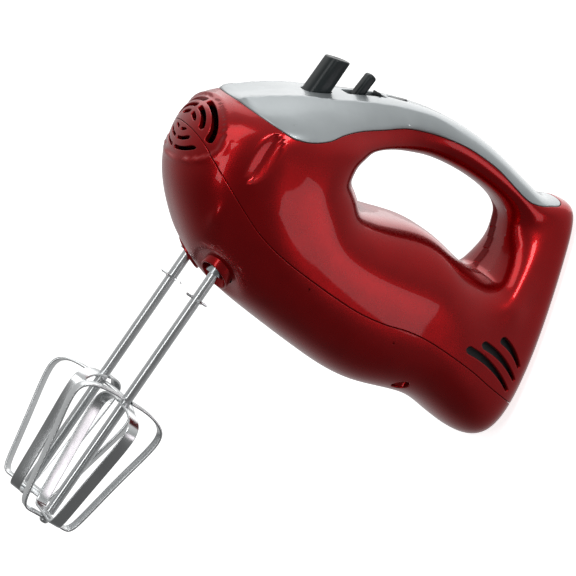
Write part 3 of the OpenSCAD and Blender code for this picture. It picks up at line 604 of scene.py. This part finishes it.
fin_line = eased([(5.7, -3.15), (6.4, 3.2), (9.0, 0.6), (9.0, -3.15)], 0.5, closed=True)
fin = lay_mesh("slider_fin", *join_rings(off_slope(pillow(fin_line, 4.35, 0.4), SPEED_SPOT)),
               sharp=50)
finished(trough, "housing", "black_gloss", gloss_black, "speed_slot_plate")
finished(fin, "housing", "black_gloss", gloss_black, "speed_slot_plate")

post_line = eased([(0.0, -2.85), (0.0, -2.8), (0.0, 13.2), (1.9, 13.75)], 1.3)
turn = math.radians(38)
t = np.arange(64) * 2 * math.pi / 64
c, s = np.cos(t), np.sin(t)
r = (np.abs(c) ** 4 + np.abs(s) ** 4) ** (-1 / 4)
inset, rise_at = post_line.T[:, :, None]
up = np.clip(rise_at, 0, None)
tilt = ramp(up, 0, 11) * turn
half_a = (2.3 - inset * 0.95) / np.cos(turn - tilt)
along_at = -5.3 + up * math.sin(turn) + half_a * c * r * np.cos(tilt)
depth_at = np.minimum(rise_at, 0) + up * math.cos(turn) - half_a * c * r * np.sin(tilt)
across_at = np.broadcast_to((3.5 - inset) * s * r, along_at.shape)
tab = lay_mesh("slider_tab", *join_rings(
    off_slope(np.stack([along_at, across_at, depth_at], -1), SPEED_SPOT)), sharp=50)
finished(tab, "speed_slider", "black_gloss", gloss_black, "speed_slider")

button_line = eased([(0.6, -4.9), (-0.3, -4.9), (-0.3, -4.1), (0.05, -4.1), (0.05, 0.8),
                     (2.9, 0.9)], 0.5)
rows = [(5.1 - 1.6 * inset, 3.2 - inset, d, 0, 0) for inset, d in button_line]
boost = lay_mesh("boost_key", *join_rings(off_slope(oval_rings(rows, 2, 64), BOOST_SPOT)), sharp=40)
finished(boost, "boost_button", "black_gloss", gloss_black, "boost_button")

# ---- Socket collars and bushes ----
# A red ABS ring round each beater socket, cut on a slant below so that it is longest behind and
# towards the middle, with a steel-faced sintered bush pressed inside it to steady the spindle.
COLLAR_SLANT, COLLAR_TURN = math.tan(math.radians(26)), math.radians(37)


def about(points, side, turn=0.0):
    """Turns points about the z axis and carries them to the spindle on one side."""
    x, y, z = np.moveaxis(points, -1, 0)
    s, c = math.sin(turn), math.cos(turn)
    return np.stack([x * c - y * s, x * s + y * c + side * SPINDLE_Y, z], -1)


collar_line = eased([(8.0, 7.6, 1), (8.0, 20.0, 0), (7.1, 20.0, 0), (7.1, 7.6, 1)], 0.45,
                    closed=True)
rows = [(radius, radius, z, 0, -COLLAR_SLANT * ramp(w, 0, 1)) for radius, z, w in collar_line]
for side, name in ((-1, "left"), (1, "right")):
    collar = lay_mesh("collar_" + name, *join_rings(
        about(oval_rings(rows, 2, 64), side, -side * COLLAR_TURN), loop=True), sharp=50)
    finished(collar, "housing", "red_gloss", candy_red, "socket_collar_" + name)


# ---- Beaters ----
# Each beater is a chromed steel rod with two thin drive wings and two bent steel strips that
# cross under its foot, closed by a small rivet. Polishing leaves fine lines along the metal.
chromed_steel = finish_of("chromed_steel", "#d4d7d8", "#dfe1e2", 0.2, 3.0, stretch=(0.05, 1, 1),
                          bump=0.002, wear=0.06, **{"Metallic": 1.0})
CAGE_FOOT, CAGE_R, SHAFT_R, SHAFT_TOP = -129.5, 24.0, 2.5, 30.0
STRIP_W, STRIP_T = 6.0, 1.2


def strip_path(top, foot):
    """Middle line of a strip, as a uniform cubic B-spline through pinned ends, out from the rod
    over the shoulder and in to the foot, then the same mirrored."""
    p = np.array([(SHAFT_R - 0.1, top), (CAGE_R * 0.5, top + 0.3), (CAGE_R * 1.05, top - 3),
                  (CAGE_R * 1.03, top - 14), (CAGE_R * 0.85, top - 32), (CAGE_R * 0.67, foot + 10),
                  (CAGE_R * 0.58, foot - 0.4), (CAGE_R * 0.36, foot), (0, foot)])
    q = np.vstack([2 * p[0] - p[1], p, 2 * p[-1] - p[-2]])
    u = np.linspace(0, 1, 14, endpoint=False)[:, None]
    weights = ((1 - u) ** 3, 3 * u ** 3 - 6 * u * u + 4, 3 * u + 3 * u * u + 1 - 3 * u ** 3, u ** 3)
    half = np.vstack([sum(w / 6 * q[i + k] for k, w in enumerate(weights))
                      for i in range(len(p) - 1)] + [p[-1:]])
    return np.vstack([half, half[-2::-1] * [-1, 1]])


def strip_rings(path):
    """A flat section with rounded edges carried along a path in the x-z plane, square to it."""
    ahead = np.gradient(path, axis=0)
    ahead /= np.linalg.norm(ahead, axis=1, keepdims=True)
    square_to = np.stack([-ahead[:, 1], ahead[:, 0]], 1)
    w, t = STRIP_W / 2, STRIP_T / 2
    ring = eased([(-w, -t), (w, -t), (w, t), (-w, t)], 0.5, closed=True, steps=5)
    flat = path[:, None] + square_to[:, None] * ring[None, :, 1:2]
    across = np.broadcast_to(ring[None, :, 0], flat.shape[:2])
    return np.stack([flat[..., 0], across, flat[..., 1]], -1)


wing_line = eased([(-6.3, -6.3), (-5.4, -6.9), (5.4, -6.9), (6.3, -6.3), (5.4, -5.7),
                   (-5.4, -5.7)], 0.3, closed=True)
rod_line = eased([(0.4, CAGE_FOOT + 2.65), (2.0, CAGE_FOOT + 2.65), (2.5, CAGE_FOOT + 3.2),
                  (2.5, SHAFT_TOP - 2.5), (2.1, SHAFT_TOP - 0.4), (0.4, SHAFT_TOP - 0.1)], 0.4)
cap_line = eased([(0.4, -1.99), (1.5, -1.9), (2.35, -1.0), (2.4, 0.0), (0.4, 0.0)], 0.5)
for side, name, turn in ((-1, "left", 0.0), (1, "right", math.pi / 4)):
    def beater(piece, rings, extra, *nodes):
        """A chromed piece of this side's beater, turned by an extra angle about its rod."""
        made = lay_mesh(piece + name, *join_rings(about(rings, side, turn + extra)), sharp=45)
        finished(made, "beater_" + name, "bright_steel", chromed_steel,
                 *(node + name for node in nodes))

    rod = [(radius, radius, z, 0, 0) for radius, z in rod_line]
    beater("beater_rod_", oval_rings(rod, 2, 48), 0.0, "beater_shaft_")
    for k in range(2):
        beater("beater_wing_%d_" % k, pillow(wing_line, 0.8, 0.25), k * math.pi / 2,
               "beater_shaft_")
    beater("beater_low_strip_", strip_rings(strip_path(-63, CAGE_FOOT)), 0.0, "beater_low_loop_")
    beater("beater_high_strip_", strip_rings(strip_path(-65.6, CAGE_FOOT + 1.4)), math.pi / 2,
           "beater_high_loop_")
    cap = [(radius, radius, CAGE_FOOT - STRIP_T / 2 - 0.05 + z, 0, 0) for radius, z in cap_line]
    beater("beater_rivet_", oval_rings(cap, 2, 32), 0.0, "beater_cap_")

# ---- Vent screens: painted shade ----
# A thin dark screen of glass-filled nylon behind each row of side vents is painted shade: it makes
# the vents look black inside. It follows the wall, some 4 mm behind the skin.
# The dark nylon of the small switches, used here also for the sheets of painted shade.
dark_nylon_and_vent_shade = finish_of("glass_filled_nylon_and_vent_shade", "#1c1f21", "#26292b", 0.5, 0.4, bump=0.08, wear=0.15,
                       **{"IOR": 1.53})
t, a = np.meshgrid(np.linspace(12, 18, 120), np.linspace(0.2, 0.8, 90) * math.pi, indexing="ij")
p = skin(np.stack([t.ravel(), a.ravel()], 1)).reshape(*t.shape, 3)
near = (p[..., 0] > 113) & (p[..., 0] < 160) & (p[..., 2] > 38) & (p[..., 2] < 65)
span_t, span_a = ((part[near].min(), part[near].max()) for part in (t, a))
for name, turn in (("left", 1), ("right", -1)):
    t, a = np.meshgrid(np.linspace(*span_t, 28), turn * np.linspace(*span_a, 28), indexing="ij")
    chart = np.stack([t.ravel(), a.ravel()], 1)
    p, n = skin(chart), chart_normal(skin, chart)
    front, back = ((p - n * depth).reshape(*t.shape, 3) for depth in (4.0, 5.0))
    # Each dark sheet is painted shade that stands in for the dark inside of the vents.
    screen = lay_mesh("vent_shade_sheet_" + name, *join_rings(np.concatenate([front, back[:, ::-1]], 1)),
                      sharp=40)
    finished(screen, "housing", "dark_plastic", dark_nylon_and_vent_shade)

# ---- Cord gland and screws ----
# A black rubber bush in a hole under the heel, ribbed where the lead would leave it, and two
# zinc-plated cross-head screws, deep in moulded bosses, that hold the red shells together.
soft_rubber = finish_of("black_rubber", "#16181a", "#1e2022", 0.62, 0.6, bump=0.12, wear=0.15,
                        **{"IOR": 1.52})
BOSS_SLANT = 0.81
gland_line = eased([(3.6, 10.6), (5.2, 10.0), (5.6, 10.7), (6.6, 10.4), (7.0, 11.2), (7.0, 14.0),
                    (9.5, 14.0), (9.5, 17.0), (7.0, 17.0), (7.0, 26.0), (3.6, 26.0)], 0.4,
                   closed=True)
rows = [(radius, radius, z, GLAND_SPOT[0], 0) for radius, z in gland_line]
gland = lay_mesh("cord_bush", *join_rings(oval_rings(rows, 2, 56), loop=True), sharp=50)
finished(gland, "housing", "black_rubber", soft_rubber, "cord_gland")
zinc_steel = finish_of("zinc_plated_steel", "#8f9396", "#a3a7a9", 0.3, 0.3, bump=0.04, wear=0.15,
                       **{"Metallic": 1.0})
def finished_nodes(material, *names):
    """Gives CAD nodes that keep their shape their material."""
    for name in names:
        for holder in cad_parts[name].material_slots:
            holder.material = material


finished_nodes(zinc_steel, "housing_screws", "eject_spring", "boost_spring")
boss_line = eased([(4.8, 14.8, 1), (4.8, 20.6, 0), (1.55, 20.6, 0), (1.55, 19.05, 0),
                   (3.7, 19.05, 0), (3.7, 14.8, 1)], 0.2, closed=True, steps=3)
rows = [(radius, radius, z, 0, BOSS_SLANT * w) for radius, z, w in boss_line]
for side, name in ((-1, "left"), (1, "right")):
    for x, y in SCREW_SPOTS:
        out, along, up = np.moveaxis(oval_rings(rows, 2, 48), -1, 0)
        boss = lay_mesh("screw_boss_" + name, *join_rings(
            np.stack([x + along, side * (y + out), up], -1), loop=True), sharp=50)
        finished(boss, "housing", "red_gloss", candy_red)

# ---- Motor ----
# A universal motor: field and armature of stamped silicon-steel sheets, enamelled copper coils,
# a copper commutator, carbon brushes in brass boxes and sintered bronze bearings.
sintered_bronze = finish_of("sintered_bronze", "#8d7146", "#a3865a", 0.42, 0.25, bump=0.05,
                            wear=0.15, **{"Metallic": 1.0})
finished_nodes(sintered_bronze, "front_bearing", "middle_bearing", "rear_bearing")
stamped_iron = finish_of("stamped_silicon_steel", "#4d5256", "#62676b", 0.38, 0.5,
                         stretch=(12, 1, 1), bump=0.25, wear=0.2, **{"Metallic": 1.0})
finished_nodes(stamped_iron, "field_stack", "armature_core")
coil_copper = finish_of("enamelled_copper", "#8a4520", "#a85a2c", 0.25, 0.6, stretch=(1, 6, 1),
                        bump=0.4, wear=0.15, **{"Metallic": 0.8, "Coat Weight": 0.7,
                                                "Coat Roughness": 0.15})
finished_nodes(coil_copper, "field_coils", "armature_windings")
bar_copper = finish_of("turned_copper", "#a9663c", "#bb774b", 0.22, 0.3, stretch=(8, 1, 1),
                       bump=0.06, wear=0.15, **{"Metallic": 1.0})
finished_nodes(bar_copper, "commutator")
sheet_brass = finish_of("sheet_brass", "#a2813c", "#b5944c", 0.25, 0.4, bump=0.04, wear=0.15,
                        **{"Metallic": 1.0})
finished_nodes(sheet_brass, "brush_holders")
pressed_carbon = finish_of("pressed_carbon", "#1d1d1f", "#2b2b2d", 0.5, 0.2, bump=0.1, wear=0.2,
                           **{"Metallic": 0.2})
finished_nodes(pressed_carbon, "carbon_brushes")
ground_steel = finish_of("ground_steel", "#a4a8ab", "#b6babc", 0.18, 0.25, stretch=(1, 0.1, 1),
                         bump=0.03, wear=0.12, **{"Metallic": 1.0})
finished_nodes(ground_steel, "spindle_bushes", "motor_shaft", "spindle_left", "spindle_right",
               "ejector_pin_left", "ejector_pin_right")

# ---- Gears, frame and switches ----
# White moulded nylon makes the worm wheels, gear frame, motor bracket, fan and ejector yoke; the
# worm is turned bronze, and the small switches are dark glass-filled nylon.
white_nylon = finish_of("moulded_nylon", "#d2cfc4", "#dedbd0", 0.42, 0.7, bump=0.04, wear=0.12,
                        **{"Subsurface Weight": 0.1, "IOR": 1.53})
finished_nodes(white_nylon, "gear_frame", "motor_bracket", "cooling_fan", "worm_wheel_left",
               "worm_wheel_right", "ejector_yoke")
turned_bronze = finish_of("turned_bronze", "#9c7634", "#b48c46", 0.24, 0.3, bump=0.05, wear=0.15,
                          **{"Metallic": 1.0})
finished_nodes(turned_bronze, "worm")
finished_nodes(dark_nylon_and_vent_shade, "speed_switch", "boost_switch", "slider_carriage")

# ---- Floor and light ----
# A plain pale floor that glows a little and throws no light on the mixer, a sky that is brighter
# above and behind, and five soft boxes.
pale = bpy.data.materials.new("pale_floor")
pale.use_nodes = True
tree = pale.node_tree
tree.nodes.clear()
cloud = add(tree, "ShaderNodeTexNoise", {"Scale": 3.0})
shade = add(tree, "ShaderNodeMapRange", {"Value": (cloud, "Fac"), "To Min": 0.93, "To Max": 0.95})
paint = add(tree, "ShaderNodeBsdfPrincipled",
            {"Base Color": (shade, "Result"), "Roughness": 0.9, "Specular IOR Level": 0.0,
             "Emission Color": (1, 1, 1, 1), "Emission Strength": 0.8})
add(tree, "ShaderNodeOutputMaterial", {"Surface": (paint, "BSDF")})
FLOOR_REACH = 12.0
mesh = bpy.data.meshes.new("floor")
mesh.from_pydata([(x * FLOOR_REACH, y * FLOOR_REACH, 0)
                  for x, y in ((-1, -1), (1, -1), (1, 1), (-1, 1))], [], [(0, 1, 2, 3)])
floor = bpy.data.objects.new("floor", mesh)
floor.data.materials.append(pale)
bpy.context.collection.objects.link(floor)
floor.visible_glossy = False
floor.visible_diffuse = False

world = bpy.data.worlds.new("studio")
bpy.context.scene.world = world
world.use_nodes = True
tree = world.node_tree
tree.nodes.clear()
way = add(tree, "ShaderNodeTexCoord")
height = add(tree, "ShaderNodeVectorMath",
             {0: (way, "Generated"), 1: tuple(stood_direction((0.1, 0.6, 1)))},
             operation="DOT_PRODUCT")
glow = add(tree, "ShaderNodeMapRange", {"Value": (height, "Value"), "From Min": -0.7,
                                        "From Max": 0.9, "To Min": 0.13, "To Max": 0.8})
sky = add(tree, "ShaderNodeBackground", {"Color": linear("#ffffff"), "Strength": (glow, "Result")})
add(tree, "ShaderNodeOutputWorld", {"Surface": (sky, "Background")})


def softbox(name, spot, size, power, target=(60, 0, 60), tint="#ffffff"):
    """A rectangular light at a place as held, facing the target, with its size in metres."""
    data = bpy.data.lights.new(name, "AREA")
    data.shape = "RECTANGLE"
    data.size, data.size_y = size
    data.energy = power
    data.color = linear(tint)[:3]
    facing = stood_direction(np.subtract(spot, target))
    right = np.cross(stood_direction((0, 0, 1)), facing)
    right /= np.linalg.norm(right)
    place(bpy.data.objects.new(name, data), stood(spot), right, np.cross(facing, right))


softbox("top_box", (200, 800, 900), (1.8, 1.3), 6, (80, 0, 100))
softbox("front_box", (-900, -350, 400), (0.5, 0.7), 2.4, (0, 0, 50))
softbox("side_box", (600, -1100, 150), (0.36, 0.3), 0.7, (90, 0, 40), "#f5eaf0")
softbox("strip_box", (-1000, -700, -250), (0.2, 0.9), 2, (0, 0, -60))
softbox("high_box", (-150, -900, 700), (0.2, 0.5), 3.0, (90, 0, 90))

bpy.context.scene.view_settings.view_transform = "Standard"
